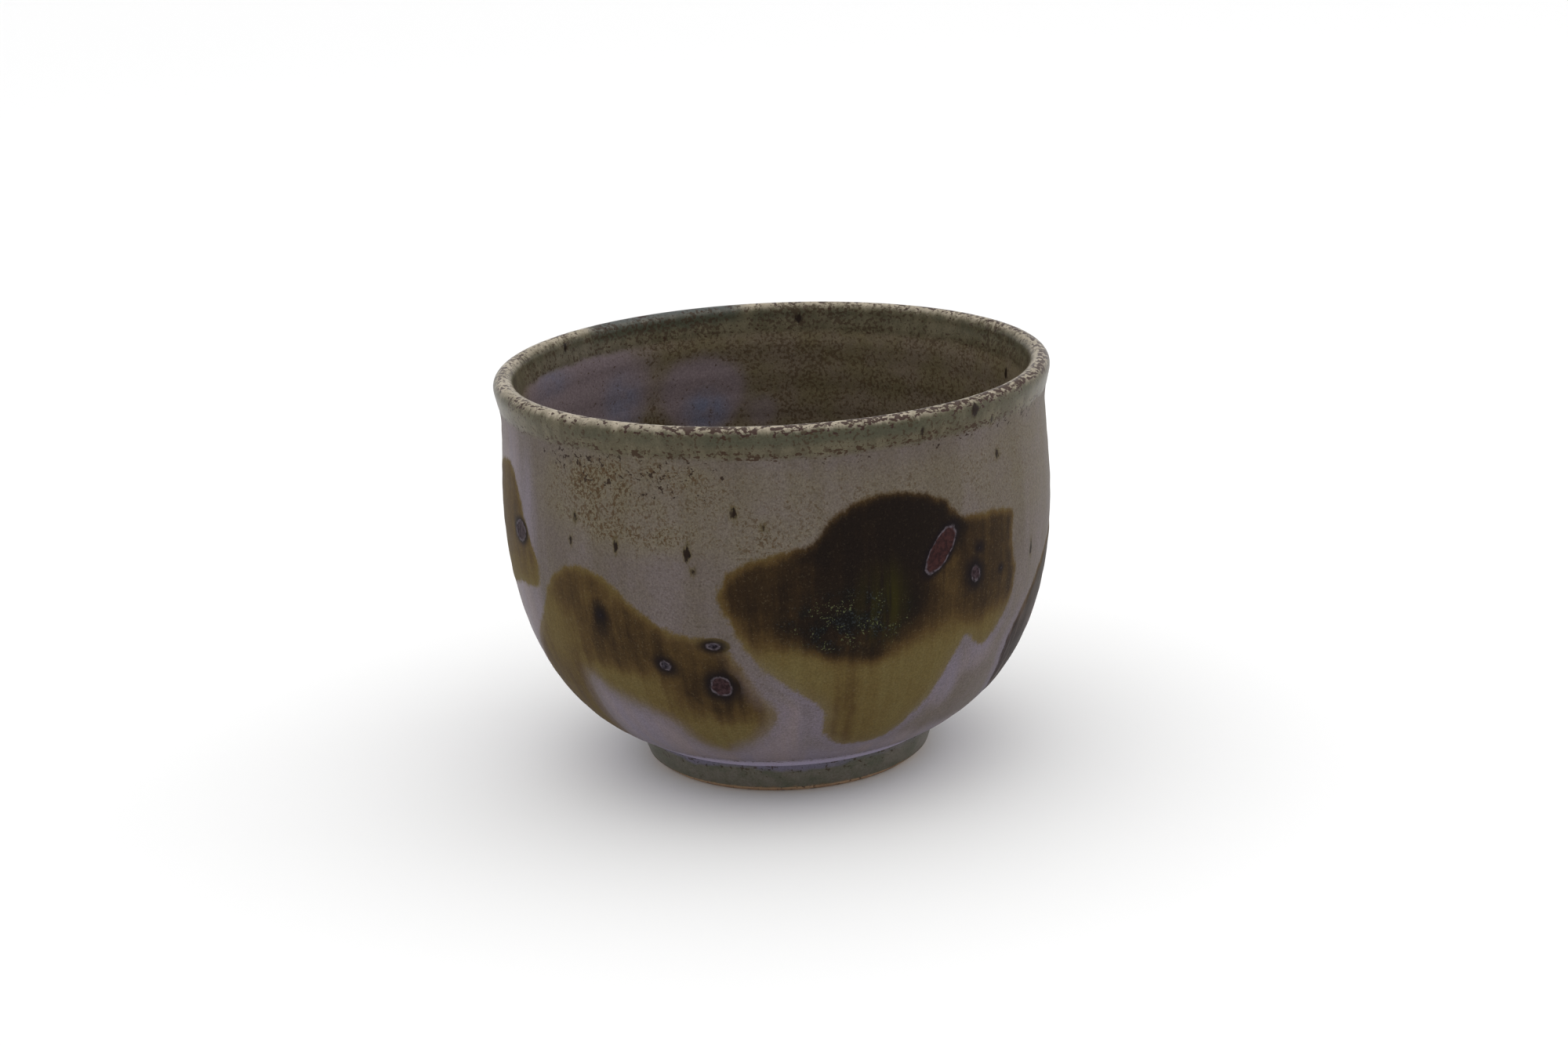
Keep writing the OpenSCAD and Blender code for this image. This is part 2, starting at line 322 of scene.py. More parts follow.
def smooth_outline(points):
    """Catmull-Rom curve through a closed list of points, each piece cut into equal steps."""
    b = np.asarray(points, float)
    a, c, d = np.roll(b, 1, 0), np.roll(b, -1, 0), np.roll(b, -2, 0)
    t = (np.arange(OUTLINE_STEPS) / OUTLINE_STEPS)[None, :, None]
    a, b, c, d = (p[:, None, :] for p in (a, b, c, d))
    return (0.5 * (2 * b + (c - a) * t + (2 * a - 5 * b + 4 * c - d) * t**2
                   + (3 * b - a - 3 * c + d) * t**3)).reshape(-1, 2)


def outline_distance(place, outline):
    """Distance to a closed outline on the wall in mm, positive inside and never under -FAR.

    Each side of the outline is laid flat round the place, and the nearest counts. The
    angles that the sides take up, seen from the place, add to a full turn inside.
    """
    points = smooth_outline(outline)
    heights = along_outside(height_up(points[:, 1]))
    distance = np.full(place.angle.shape, -FAR)
    middle = (points[:, 0].min() + points[:, 0].max()) / 2
    off = turned(place.angle - middle)
    margin = np.degrees(FAR / np.maximum(place.radius, 20))
    wide = (points[:, 0].max() - points[:, 0].min()) / 2 + margin
    near = ((np.abs(off) < wide) & (place.along > heights.min() - FAR)
            & (place.along < heights.max() + FAR) & (place.over < 0))
    if not near.any():
        return distance
    off, radius, along = off[near], place.radius[near], place.along[near]
    nearest = np.full(off.shape, FAR**2)
    turn = np.zeros(off.shape)
    xs = np.radians(points[:, 0] - middle)
    for i in range(len(points)):
        j = (i + 1) % len(points)
        ax = (xs[i] - np.radians(off)) * radius
        bx = (xs[j] - np.radians(off)) * radius
        ay, by = heights[i] - along, heights[j] - along
        dx, dy = bx - ax, by - ay
        t = np.clip(-(ax * dx + ay * dy) / (dx * dx + dy * dy), 0, 1)
        nearest = np.minimum(nearest, (ax + t * dx)**2 + (ay + t * dy)**2)
        turn += np.arctan2(ax * by - ay * bx, ax * bx + ay * by)
    distance[near] = np.sqrt(nearest) * np.where(np.abs(turn) > math.pi, 1, -1)
    return distance


def paint(angle, up, ground, dabs):
    """Levels laid over a ground one dab after another. A dab is an ellipse with a soft edge."""
    level = np.broadcast_to(np.asarray(ground, float), angle.shape).copy()
    for at, height, half_angle, half_up, value, soft in dabs:
        q = np.hypot(turned(angle - at) / half_angle, (up - height) / half_up)
        weight = 1 - smoothstep(1 - soft, 1 + soft, q)
        level += (value - level) * weight
    return level


class Place:
    """Where each vertex of a piece lies on the glazed line: its angle, its distance along, the
    distance over the crest, and how far up the wall or the inside it is."""

    def __init__(self, angle, along):
        self.angle = turned(angle)
        self.along = along
        self.radius = np.interp(along, ALONG, LINE[:, 0])
        self.height = np.interp(along, ALONG, LINE[:, 1])
        self.over = along - CREST_AT
        self.up = 100 * (self.height - FOOT_H) / (DIP_Z - FOOT_H)
        self.inner_up = 100 * (self.height - FLOOR_Z) / (DIP_Z - FLOOR_Z)
        self.outside = self.over < 0


def oval_distance(place, angle, along, half_w, half_h, lean=0.0):
    """Distance in mm out from an oval on the glaze, about even all round and below 0 inside it."""
    x = np.radians(turned(place.angle - angle)) * place.radius
    y = place.along - along
    a = math.radians(lean)
    across = (x * math.cos(a) - y * math.sin(a)) / half_w
    length = (x * math.sin(a) + y * math.cos(a)) / half_h
    return (np.hypot(across, length) - 1) * math.sqrt(half_w * half_h)


def eye_fields(place):
    """Distance to the nearest eye, its redness, and the strength of the halos round the eyes."""
    nearest = np.full(place.angle.shape, FAR)
    red = np.zeros(place.angle.shape)
    halo = np.zeros(place.angle.shape)
    for angle, up, half_w, half_h, lean, width, redness in EYES:
        distance = oval_distance(place, angle, along_outside(height_up(up)), half_w, half_h, lean)
        red = np.where(distance < nearest, redness, red)
        nearest = np.minimum(nearest, distance)
        halo = np.maximum(halo, 1 - smoothstep(0, 1, distance / width))
    return nearest, red, halo


def drip_field(place):
    """Distance in mm into the nearest drip or spot."""
    ovals = [(angle, along_outside(height_up(up)), w, h) for angle, up, w, h in DRIPS]
    ovals += [(angle, along_inside(height), w, h) for angle, height, w, h in LINER_SPOTS]
    return -np.minimum.reduce([oval_distance(place, *oval) for oval in ovals])


def near_angle(place, middle, half):
    """1 within half an angle of the middle, falling to 0 over a further third of it."""
    return 1 - smoothstep(half, half * 4 / 3, np.abs(turned(place.angle - middle)))


def iron_fields(place):
    """Distance into the splashes, and how thick the iron lies there."""
    inside = np.full(place.angle.shape, -FAR)
    depth = np.full(place.angle.shape, DEPTH_ELSEWHERE)
    for name, outline in OUTLINES.items():
        distance = outline_distance(place, outline)
        low, high, low_up, high_up = DEPTH_GROUND[name]
        ground = low + (high - low) * smoothstep(low_up, high_up, place.up)
        depth = np.where(distance > inside, ground, depth)
        inside = np.maximum(inside, distance)
    depth = paint(place.angle, place.up, depth, DEPTH_DABS)
    return inside, depth


def painted(place, dabs, ground, inside):
    """Dabs on a ground outside, and one level or map inside."""
    return np.where(place.outside, paint(place.angle, place.up, ground, dabs), inside)


def fields(place):
    """Every map that the glazes read, by name."""
    out = {}
    outer = place.outside
    out["iron"], out["depth"] = iron_fields(place)
    out["eye"], out["red"], out["halo"] = eye_fields(place)
    out["drip"] = drip_field(place)
    pooled_front = FRONT_POOL * near_angle(place, *POOLED_FRONT) * (place.over < -CREST_HALF)
    out["pooled"] = np.maximum(near_angle(place, *POOLED_CREST), pooled_front)
    out["specked"] = near_angle(place, *SPECKED_CREST)
    out["crystal"] = painted(place, CRYSTAL_DABS, ground=0, inside=0)
    out["green"] = painted(place, GREEN_DABS, ground=0, inside=0)
    out["cloud"] = painted(place, CLOUD_DABS, ground=0.10, inside=0.6)
    out["dark"] = painted(place, DARK_DABS, ground=0, inside=0.3)
    liner_lilac = paint(place.angle, place.inner_up, 0, LINER_LILAC_DABS)
    out["lilac"] = painted(place, LILAC_DABS, ground=0.12, inside=liner_lilac)
    out["blue"] = np.where(outer, 0, paint(place.angle, place.inner_up, 0, LINER_BLUE_DABS))
    out["low"] = 1 - smoothstep(*LOW_WALL, place.up)
    veiled = near_angle(place, *VEILED_SPLASH)
    out["veil"] = out["low"] * (VEIL_ELSEWHERE + (1 - VEIL_ELSEWHERE) * veiled)
    # The crease over the foot, where painted light lightens the lilac against the shade
    out["crease"] = np.where(outer, 1 - smoothstep(*CREASE, place.up), 0)
    seam = SEAM_STRENGTH * np.exp(-((place.height - SEAM_Z) / SEAM_HALF)**2)
    out["seam"] = np.where(outer, seam, 0)
    out["dry"] = near_angle(place, *DRY_SPLASH) * out["low"]
    out["over"] = place.over
    return out


def meridian(place):
    """Round and along the bowl as three lengths, with no seam: (R sin a, -R cos a, along)."""
    a = np.radians(place.angle)
    return np.stack([RIM_R * np.sin(a), -RIM_R * np.cos(a), place.along], -1)


# --- The surface ------------------------------------------------------------------------

# The slow wobble of the wall: waves round the bowl as (how many, height in mm, shift)
WOBBLE = [(2, 0.10, 0.6), (3, 0.06, -1.0), (5, 0.03, 2.0)]
BAND_RISE = 0.10


def ring(place, pitch, shift):
    """A throwing ring's wave along the wall, from -1 to 1 and back in each pitch."""
    return np.sin(2 * math.pi * place.along / pitch + shift)


def relief(place):
    """Height of the glaze's face over the plain line.

    The wobble is a sum of cosine waves round the bowl, the throwing rings are sine waves along
    it, and the dipped band rises by a smooth step. All of them fade out at the crest.
    """
    a = np.radians(place.angle)
    rise = smoothstep(0, BOWL_H, place.height)
    wobble = rise * sum(height * np.cos(waves * a + shift) for waves, height, shift in WOBBLE)
    wobble = np.where(place.outside, wobble, -wobble)
    outer = 0.020 * ring(place, 6.3, 0.9 * np.sin(a)) + 0.012 * ring(place, 3.9, 1.3 * np.cos(a) + 1.0)
    inner = 0.09 * ring(place, 7.4, a + 0.4) + 0.03 * ring(place, 3.1, -a)
    rings = np.where(place.outside, outer, inner * smoothstep(0, 8, place.radius))
    from_crest = np.abs(place.over)
    band = BAND_RISE * smoothstep(-0.5, 0.7, BAND_WIDTH - from_crest)
    return rings * smoothstep(4, 12, from_crest) + (wobble + band) * smoothstep(0.5, 3.5, from_crest)


def normal_at(along):
    """Unit normals of the glazed line, pointing out of the clay."""
    step = 0.05
    ahead = np.stack([np.interp(along + step, ALONG, LINE[:, k]) for k in (0, 1)], -1)
    behind = np.stack([np.interp(along - step, ALONG, LINE[:, k]) for k in (0, 1)], -1)
    tangent = ahead - behind
    tangent /= np.maximum(np.linalg.norm(tangent, axis=-1, keepdims=True), 1e-9)
    return np.stack([tangent[..., 1], -tangent[..., 0]], -1)


def in_space(place, lift):
    """Points lifted along the normal of the plain line: [r sin a, -r cos a, z]."""
    n = normal_at(place.along)
    radius = np.maximum(place.radius + n[..., 0] * lift, 0)
    height = place.height + n[..., 1] * lift
    a = np.radians(place.angle)
    return np.stack([radius * np.sin(a), -radius * np.cos(a), height], -1)


def make_mesh(name, points, faces, maps=None, vectors=None):
    """A mesh object from points in mm and lists of face corners, with float and vector maps."""
    mesh = bpy.data.meshes.new(name)
    corners = np.concatenate([f.ravel() for f in faces]).astype(np.int32)
    counts = np.concatenate([np.full(len(f), f.shape[1]) for f in faces])
    starts = np.concatenate([[0], np.cumsum(counts)[:-1]]).astype(np.int32)
    mesh.vertices.add(len(points))
    mesh.vertices.foreach_set("co", (points * MM).astype(np.float32).ravel())
    mesh.loops.add(len(corners))
    mesh.loops.foreach_set("vertex_index", corners)
    mesh.polygons.add(len(counts))
    mesh.polygons.foreach_set("loop_start", starts)
    mesh.update(calc_edges=True)
    mesh.shade_smooth()
    mesh.set_sharp_from_angle(angle=math.radians(35))
    for key, values in (maps or {}).items():
        layer = mesh.attributes.new(key, "FLOAT", "POINT")
        layer.data.foreach_set("value", values.astype(np.float32).ravel())
    for key, values in (vectors or {}).items():
        layer = mesh.attributes.new(key, "FLOAT_VECTOR", "POINT")
        layer.data.foreach_set("vector", values.astype(np.float32).ravel())
    piece = bpy.data.objects.new(name, mesh)
    bpy.context.scene.collection.objects.link(piece)
    return piece


def grid(angle, along):
    """The place at every crossing of a row of angles and a column of distances along."""
    return Place(*np.broadcast_arrays(angle[None, :], along[:, None]))


def all_round():
    """The angles of a full turn, starting at the back."""
    return np.linspace(0, 360, COLUMNS, endpoint=False) + 180


def loop_faces(rows, columns):
    """Quads of a grid whose rows and columns both close on themselves."""
    i = np.arange(rows)[:, None]
    j = np.arange(columns)[None, :]
    up, right = (i + 1) % rows, (j + 1) % columns
    quads = np.stack([i * columns + j, i * columns + right, up * columns + right, up * columns + j], -1)
    return quads.reshape(-1, 4)


# Vertices nearer the axis than this are one
ON_AXIS = 1e-6


def weld_poles(points, quads):
    """Joins the vertices that lie on the axis, and makes the quads there triangles."""
    on_axis = np.hypot(points[:, 0], points[:, 1]) < ON_AXIS
    target = np.arange(len(points))
    if on_axis.any():
        heights = np.round(points[:, 2], 4)
        for height in np.unique(heights[on_axis]):
            pole = np.nonzero(on_axis & (heights == height))[0]
            target[pole] = pole[0]
    quads = target[quads]
    same = quads == np.roll(quads, -1, 1)
    plain = quads[~same.any(1)]
    single = quads[same.sum(1) == 1]
    keep = ~(single == np.roll(single, -1, 1))
    triangles = single[keep].reshape(-1, 3)
    return points, [plain, triangles]


def drop_unused(points, faces, extra):
    """Keeps only the vertices that faces use, with what goes with each vertex."""
    used = np.unique(np.concatenate([f.ravel() for f in faces]))
    number = np.full(len(points), -1)
    number[used] = np.arange(len(used))
    return points[used], [number[f] for f in faces], [e[used] for e in extra]


def mapped_piece(name, slot, nodes, points, faces, place, layers=1):
    """A piece that carries the glazes' maps. Its vertices are the places, once for each layer."""
    maps = fields(place)
    values = [np.tile(value.ravel(), layers) for value in maps.values()]
    vector = np.tile(meridian(place).reshape(-1, 3), (layers, 1))
    points, faces, kept = drop_unused(points, faces, values + [vector])
    piece = make_mesh(name, points, faces, dict(zip(maps, kept)), {"meridian": kept[-1]})
    return own(piece, slot, *nodes)


def glaze_piece(name, nodes, slot, start, end, face_step, back_step=BACK_STEP):
    """A closed shell of glaze along part of the line: its face, and its back COAT_T under it."""
    face_at = np.linspace(start, end, max(3, round((end - start) / face_step) + 1))
    back_at = np.linspace(end, start, max(3, round((end - start) / back_step) + 1))
    is_back = np.concatenate([np.zeros(len(face_at)), np.ones(len(back_at))])[:, None]
    place = grid(all_round(), np.concatenate([face_at, back_at]))
    points = in_space(place, relief(place) * (1 - is_back) - COAT_T * is_back)
    points, faces = weld_poles(points.reshape(-1, 3), loop_faces(*place.angle.shape))
    return mapped_piece(name, slot, nodes, points, faces, place)


def own(piece, slot, *nodes):
    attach(piece, "root")
    if nodes:
        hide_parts(*nodes)
    piece.data.materials.append(MATERIALS[slot])
    return piece


# A film of iron starts SINK outside its outline and FILM_ROOT under the face of the base glaze,
# and stands FILM_T over it from FILM_FULL inside the outline
SINK = 1.3
FILM_T = 0.10
FILM_ROOT = 0.06
FILM_FULL = 2.2
FILM_STEP = 0.38
FILM_MARGIN = 3.0
FILM_BACK = 0.7 * COAT_T
# The bead along a splash's edge: its height, its distance into the outline and its half width
BEAD = (0.05, 1.6, 0.9)
# An eye's raised ring as its height and half width, and the hollow of its heart as depth and rim
EYE_RING_RISE = (0.07, 0.35)
EYE_HOLLOW = (0.05, 1.0)


def splash_grid(outline):
    """Places on an even grid over an outline and a margin round it."""
    low = along_outside(height_up(outline[:, 1].min())) - FILM_MARGIN
    high = along_outside(height_up(outline[:, 1].max())) + FILM_MARGIN
    wide = math.degrees(FILM_MARGIN / RIM_R)
    first, last = outline[:, 0].min() - wide, outline[:, 0].max() + wide
    columns = round(math.radians(last - first) * RIM_R / FILM_STEP)
    rows = round((high - low) / FILM_STEP)
    return grid(np.linspace(first, last, columns), np.linspace(low, high, rows))


def splash_lift(place, inside):
    """Height of a film's face: a smooth step into the outline, a bell curve as its bead, which
    grows towards the foot, and a bell curve as the ring of each eye round a shallow hollow."""
    film = smoothstep(-SINK, FILM_FULL, inside) * (FILM_T + FILM_ROOT) - FILM_ROOT
    bead_rise, bead_at, bead_half = BEAD
    bead = bead_rise * np.exp(-((inside - bead_at) / bead_half)**2) * smoothstep(60, 15, place.up)
    eye = eye_fields(place)[0]
    ring_rise, ring_half = EYE_RING_RISE
    hollow, hollow_rim = EYE_HOLLOW
    eyes = ring_rise * np.exp(-(eye / ring_half)**2) - hollow * smoothstep(0, -hollow_rim, eye)
    return relief(place) + film + bead + eyes * smoothstep(0, 1.5, inside)


def film_faces(inside):
    """Cells of a grid within SINK of an outline as the face, the same ones turned over as the
    back, and a strip that joins the two along every side that only one cell has."""
    rows, columns = inside.shape
    count = rows * columns
    j, i = np.meshgrid(np.arange(columns - 1), np.arange(rows - 1))
    corner = (i * columns + j).ravel()
    cells = np.stack([corner, corner + 1, corner + columns + 1, corner + columns], -1)
    cells = cells[(inside.ravel()[cells] > -SINK).all(1)]
    sides = np.concatenate([cells[:, [k, (k + 1) % 4]] for k in range(4)])
    edge = sides[~np.isin(sides @ [count, 1], sides @ [1, count])]
    strip = np.stack([edge[:, 1], edge[:, 0], edge[:, 0] + count, edge[:, 1] + count], -1)
    return [np.concatenate([cells, cells[:, ::-1] + count, strip])]


def splash_piece(node):
    """A film that follows the wall inside its outline and dips under the base glaze at its edge."""
    place = splash_grid(smooth_outline(OUTLINES[node]))
    inside = outline_distance(place, OUTLINES[node])
    face = in_space(place, splash_lift(place, inside))
    back = in_space(place, np.full(inside.shape, -FILM_BACK))
    points = np.concatenate([face.reshape(-1, 3), back.reshape(-1, 3)])
    name = node + "_film"
    return mapped_piece(name, "iron_glaze", [node], points, film_faces(inside), place, layers=2)


# --- Colours ------------------------------------------------------------------------------

def tone(red, green, blue):
    """A linear colour from 0-255 display values, by undoing the display's curve."""
    values = np.array([red, green, blue]) / 255
    linear = np.where(values <= 0.04045, values / 12.92, ((values + 0.055) / 1.055)**2.4)
    return (*(float(v) for v in linear), 1.0)


# The wall: its ground, its lilac, its tan cloud, and its flecks and drips
WARM_GREY, COOL_GREY, TAN_GREY = tone(86, 77, 72), tone(96, 87, 86), tone(91, 83, 72)
COOL_LILAC, ROSE_LILAC = tone(107, 99, 112), tone(114, 102, 106)
# The crease's lilac is the glaze's own lilac lightened with painted light that offsets the crease's shade
HALO_LILAC, CREASE_LILAC_AND_LIGHT = tone(107, 99, 115), tone(172, 163, 188)
CLOUD_OLIVE, CLOUD_SPECK = tone(103, 96, 74), tone(70, 54, 35)
RUST_TAN, DEEP_TAN = tone(72, 52, 29), tone(56, 39, 23)
CRUMB, DARK_SPECK, SEAM_SPECK = tone(64, 52, 38), tone(38, 26, 19), tone(58, 42, 30)
DRIP_EDGE, DRIP_HEART = tone(76, 66, 40), tone(24, 17, 12)
# The liner
LINER_OLIVE, LINER_BUFF, LINER_MOTTLE = tone(98, 89, 68), tone(104, 93, 79), tone(68, 53, 37)
LINER_LILAC, LINER_BLUE, LINER_SPOT = tone(114, 102, 105), tone(100, 102, 120), tone(34, 25, 19)
# The dipped band
BAND_OLIVE, BAND_PALE, BAND_POOL = tone(75, 70, 53), tone(93, 87, 69), tone(66, 66, 53)
# The crest's cream and grey are the glaze's pale break, lightened with a painted sheen on top
CREST_CREAM_AND_SHEEN, CREST_GREY_AND_SHEEN, INNER_LIP_BLUE = tone(165, 155, 138), tone(147, 138, 121), tone(64, 70, 71)
CREST_SPECK, BAND_DUST, EDGE_DASH = tone(52, 34, 31), tone(56, 42, 30), tone(52, 35, 24)
BAND_DRIP = tone(32, 22, 16)
# The iron: from its thinnest to its thickest as (thickness, colour), its matte splash, its crystals
IRON_TONES = [
    (0.0, tone(94, 83, 52)), (0.22, tone(87, 73, 43)), (0.42, tone(71, 55, 32)),
    (0.62, tone(47, 35, 22)), (0.80, tone(32, 24, 18)), (1.0, tone(26, 20, 17))]
MATTE_DARK, MATTE_PALE = tone(34, 24, 24), tone(80, 68, 65)
BLUE_BLACK, BOTTLE_GREEN = tone(17, 18, 18), tone(44, 41, 14)
FROST, CRYSTAL, PALE_FLECK = tone(52, 56, 58), tone(84, 88, 60), tone(112, 100, 78)
# The eyes
EYE_HALO, EYE_RING = tone(23, 18, 20), tone(92, 84, 90)
MAROON, DEEP_MAROON = tone(57, 35, 34), tone(40, 25, 26)
ASH, SOOT = tone(58, 53, 60), tone(26, 21, 25)
# The foot
MOSS_GREEN, MOSS_GREY, MOSS_LILAC = tone(84, 84, 72), tone(99, 94, 85), tone(102, 97, 116)
MOSS_DOT, WORN_CLAY = tone(56, 42, 30), tone(130, 104, 78)
CLAY_PALE, CLAY_TAN = tone(166, 138, 111), tone(150, 122, 98)
GROG, CLAY_SPECK = tone(178, 150, 120), tone(58, 42, 32)


# --- Materials ----------------------------------------------------------------------------

GLAZE_SPECULAR = 0.07
IRON_SPECULAR = 0.03
CLAY_SPECULAR = 0.15


class Graph:
    """Adds nodes to a tree. An input is a number, a colour or another node's output."""

    def __init__(self, tree):
        self.tree = tree

    def add(self, kind, inputs=None, **settings):
        node = self.tree.nodes.new(kind)
        for name, value in settings.items():
            setattr(node, name, value)
        for name, value in (inputs or {}).items():
            self.join(node.inputs[name], value)
        return node

    def join(self, socket, value):
        if isinstance(value, bpy.types.NodeSocket):
            self.tree.links.new(value, socket)
        else:
            socket.default_value = value

    def math(self, operation, a, b=0.0, c=0.0, clamp=False):
        node = self.add("ShaderNodeMath", {0: a, 1: b, 2: c}, operation=operation, use_clamp=clamp)
        return node.outputs[0]

    def times(self, a, b):
        return self.math("MULTIPLY", a, b)

    def plus(self, value, amount, factor):
        """A value and so many times an amount."""
        return self.math("MULTIPLY_ADD", amount, factor, value)

    def step(self, value, low, high, to_low=0.0, to_high=1.0):
        inputs = {"Value": value, "From Min": low, "From Max": high, "To Min": to_low, "To Max": to_high}
        return self.add("ShaderNodeMapRange", inputs, interpolation_type="SMOOTHSTEP").outputs[0]

    def nearness(self, value, middle, full, none, most=1.0):
        """The most within one distance of a middle value, falling to 0 at another."""
        away = self.math("ABSOLUTE", self.math("SUBTRACT", value, middle))
        return self.step(away, full, none, most, 0.0)

    def mix(self, factor, a, b):
        node = self.add("ShaderNodeMix", {0: factor, 6: a, 7: b}, data_type="RGBA")
        return node.outputs[2]

    def blend(self, factor, a, b):
        return self.add("ShaderNodeMix", {0: factor, 2: a, 3: b}, data_type="FLOAT").outputs[0]

    def value_of(self, name):
        return self.add("ShaderNodeAttribute", attribute_name=name).outputs["Fac"]

    def object_mm(self):
        """Object coordinates in mm."""
        place = self.add("ShaderNodeTexCoord").outputs["Object"]
        return self.add("ShaderNodeVectorMath", {0: place, "Scale": 1 / MM}, operation="SCALE").outputs[0]

    def meridian_mm(self, stretch):
        """Lengths round and along the bowl, the length along drawn out by a factor."""
        place = self.add("ShaderNodeAttribute", attribute_name="meridian").outputs["Vector"]
        scale = (1.0, 1.0, 1 / stretch)
        return self.add("ShaderNodeVectorMath", {0: place, 1: scale}, operation="MULTIPLY").outputs[0]

    def noise(self, vector, size, detail=2.0, roughness=0.5):
        scale = self.math("DIVIDE", 1.0, size) if isinstance(size, bpy.types.NodeSocket) else 1 / size
        inputs = {"Vector": vector, "Scale": scale, "Detail": detail, "Roughness": roughness}
        return self.add("ShaderNodeTexNoise", inputs).outputs[0]

    def drifts(self, vector, size):
        return self.noise(vector, size, detail=3.0, roughness=0.6)

    def patches(self, vector, size, low=0.35, high=0.65, to_low=0.0, to_high=1.0):
        """Soft patches of about one size, from one level to another."""
        return self.step(self.drifts(vector, size), low, high, to_low, to_high)

    def sway(self, vector, size, detail=3.0, roughness=0.6):
        """Noise that goes to both sides of 0."""
        return self.math("SUBTRACT", self.noise(vector, size, detail, roughness), 0.5)

    def grained(self, colour, vector, size, dark, light):
        """A colour with a fine grain, made darker and lighter by factors."""
        fine = self.noise(vector, size, detail=2.0, roughness=0.7)
        factor = self.step(fine, 0.25, 0.75, dark, light)
        return self.add("ShaderNodeVectorMath", {0: colour, "Scale": factor}, operation="SCALE").outputs[0]

    def use(self, group, inputs=None):
        node = self.add("ShaderNodeGroup", node_tree=group)
        for name, value in (inputs or {}).items():
            self.join(node.inputs[name], value)
        return node

    def flecks(self, spatter, vector, size, density):
        return self.use(spatter, {"Vector": vector, "Size": size, "Density": density}).outputs["Mask"]

    def put_out(self, out, colour, roughness, height):
        """Hands on what every layer of glaze puts out."""
        self.join(out["Color"], colour)
        self.join(out["Roughness"], roughness)
        self.join(out["Height"], height)


COLOUR = "NodeSocketColor"
FLOAT = "NodeSocketFloat"
VECTOR = "NodeSocketVector"
LAYER_INPUTS = {"Color": (COLOUR, (0.1, 0.1, 0.1, 1)), "Roughness": (FLOAT, 0.4), "Height": (FLOAT, 0.0)}
LAYER_OUTPUTS = {"Color": COLOUR, "Roughness": FLOAT, "Height": FLOAT}


def new_group(name, inputs, outputs):
    """A shader node group with named inputs, each with a kind and a value, and named outputs."""
    tree = bpy.data.node_groups.new(name, "ShaderNodeTree")
    for label, (kind, value) in inputs.items():
        socket = tree.interface.new_socket(label, in_out="INPUT", socket_type=kind)
        if value is not None:
            socket.default_value = value
    for label, kind in outputs.items():
        tree.interface.new_socket(label, in_out="OUTPUT", socket_type=kind)
    graph = Graph(tree)
    entry = graph.add("NodeGroupInput")
    leave = graph.add("NodeGroupOutput")
    return tree, graph, entry.outputs, leave.inputs


def spatter_group():
    """Ragged little flecks: noise over a threshold that falls as the density grows."""
    inputs = {"Vector": (VECTOR, None), "Size": (FLOAT, 1.0), "Density": (FLOAT, 0.5)}
    tree, g, given, out = new_group("spatter", inputs, {"Mask": FLOAT})
    noise = g.noise(given["Vector"], given["Size"], detail=2.0, roughness=0.55)
    threshold = g.math("MULTIPLY_ADD", given["Density"], -0.24, 0.70)
    flecks = g.step(g.math("SUBTRACT", noise, threshold), -0.02, 0.02)
    g.join(out["Mask"], g.times(flecks, g.step(given["Density"], 0.02, 0.15)))
    return tree


def ragged_drips(g, vector, size, reach):
    """Distance into the drips, with an edge that wanders by up to half a reach."""
    return g.plus(g.value_of("drip"), g.sway(vector, size, roughness=0.7), reach)


def wall_ground(g, spot):
    """Drifts of warm and cool grey, and lilac in its pools and under the iron. In the crease over the
    foot the lilac is lightened with painted light that offsets the crease's shade.
    """
    streaky = g.meridian_mm(9.0)
    drift = g.patches(streaky, 9.0, 0.36, 0.64)
    colour = g.mix(drift, WARM_GREY, COOL_GREY)
    colour = g.mix(g.times(g.patches(spot, 5.0), 0.35), colour, TAN_GREY)
    lilac = g.step(g.plus(g.value_of("lilac"), g.noise(streaky, 5.0), 0.5), 0.35, 1.15)
    colour = g.mix(lilac, colour, g.mix(drift, COOL_LILAC, ROSE_LILAC))
    halo = g.times(g.step(g.value_of("iron"), -4.0, -0.5), g.value_of("low"))
    colour = g.mix(g.times(halo, 0.7), colour, HALO_LILAC)
    # Painted light: the lilac in the crease is lightened to offset the shade there
    return g.mix(g.times(g.value_of("crease"), 0.9), colour, CREASE_LILAC_AND_LIGHT), lilac


def wall_flecks(g, spatter, spot, colour, lilac):
    """The tan cloud with its flecks, crumbs all over, dark specks, and specks over the foot."""
    thick = g.patches(spot, 6.0, to_low=0.70, to_high=1.05)
    cloud = g.math("MULTIPLY", g.value_of("cloud"), thick, clamp=True)
    colour = g.grained(g.mix(g.times(cloud, 0.68), colour, CLOUD_OLIVE), spot, 0.40, 0.87, 1.14)
    crumbs = g.times(g.flecks(spatter, spot, 0.5, 0.45), g.step(lilac, 0.0, 1.0, 0.28, 0.06))
    colour = g.mix(crumbs, colour, CRUMB)
    strength = g.step(cloud, 0.35, 0.95, 0.28, 0.76)
    small = g.flecks(spatter, spot, 0.55, g.times(cloud, 0.70))
    colour = g.mix(g.times(small, strength), colour, CLOUD_SPECK)
    tan = g.flecks(spatter, spot, 0.82, g.times(cloud, 0.66))
    colour = g.mix(g.times(tan, strength), colour, g.mix(g.noise(spot, 3.0), RUST_TAN, DEEP_TAN))
    dark = g.times(g.value_of("dark"), g.step(g.noise(spot, 4.0), 0.35, 0.6))
    specks = g.flecks(spatter, g.meridian_mm(0.8), 1.0, dark)
    colour = g.mix(g.times(specks, 0.9), colour, DARK_SPECK)
    seam = g.flecks(spatter, g.meridian_mm(0.6), 1.3, g.value_of("seam"))
    return g.mix(g.times(seam, 0.7), colour, SEAM_SPECK), tan


